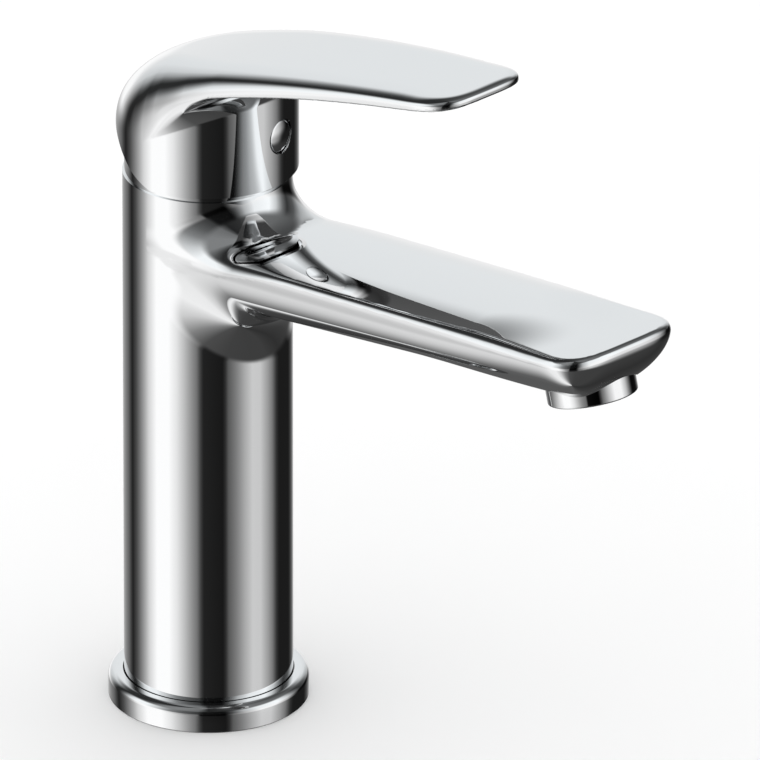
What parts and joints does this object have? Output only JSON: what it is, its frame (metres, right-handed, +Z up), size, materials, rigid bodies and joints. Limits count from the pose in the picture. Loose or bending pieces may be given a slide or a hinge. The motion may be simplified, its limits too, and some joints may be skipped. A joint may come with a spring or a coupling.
{
  "type": "basin mixer faucet",
  "caption": "Deck-mounted single-lever basin mixer: round column, flat tapering spout with an aerator, and a long arched lever over a ceramic cartridge.",
  "frame": {"origin": "centre of the face that stands on the basin, on the column's axis", "axes": "+Z up along the column, -Y along the spout, +X to the right of someone who stands at the basin"},
  "size_m": [0.0534, 0.1835, 0.2089],
  "materials": {
    "chrome": "polished",
    "brass": "machined",
    "steel": "satin",
    "ceramic": "lapped ceramic",
    "plastic_white": "moulded",
    "plastic_grey": "moulded",
    "rubber": "moulded"
  },
  "bodies": {
    "mixer_body": {"body": "chrome", "base_ring": "chrome", "base_gasket": "rubber", "base_ring_oring": "rubber", "foot_plate": "brass", "cartridge_base": "plastic_white", "seat_seal_cold": "rubber", "seat_seal_hot": "rubber", "seat_seal_outlet": "rubber", "disc_seal_cold": "rubber", "disc_seal_hot": "rubber", "disc_seal_outlet": "rubber", "fixed_ceramic_disc": "ceramic", "cartridge_housing": "plastic_grey", "retaining_nut": "brass", "hot_limit_ring": "plastic_white", "cover_cap": "chrome", "aerator_housing": "chrome", "aerator_insert": "plastic_grey", "aerator_grid": "plastic_white", "aerator_diffuser": "plastic_white", "aerator_washer": "rubber"},
    "rotor": {"rotor": "plastic_white", "pivot_pin": "steel"},
    "ceramic_slide": {"moving_ceramic_disc": "ceramic", "disc_carrier": "plastic_grey"},
    "lever": {"handle": "chrome", "spindle": "steel", "spindle_bush": "plastic_grey", "grub_screw": "steel", "screw_cover": "chrome"}
  },
  "joints": [
    {"name": "handle_turn", "type": "hinge", "parent": "mixer_body", "child": "rotor", "pos_m": [0, 0, 0.154], "axis": [0, 0, 1], "range_deg": [-45, 45]},
    {"name": "handle_lift", "type": "hinge", "parent": "rotor", "child": "lever", "pos_m": [0, 0, 0.154], "axis": [-1, 0, 0], "range_deg": [0, 25]},
    {"name": "disc_slide", "type": "slide", "parent": "rotor", "child": "ceramic_slide", "axis": [0, -1, 0], "range_m": [0, 0.0033]}
  ],
  "couplings": [
    {"joint": "disc_slide", "follows": "handle_lift", "m_per_rad": 0.0074}
  ]
}
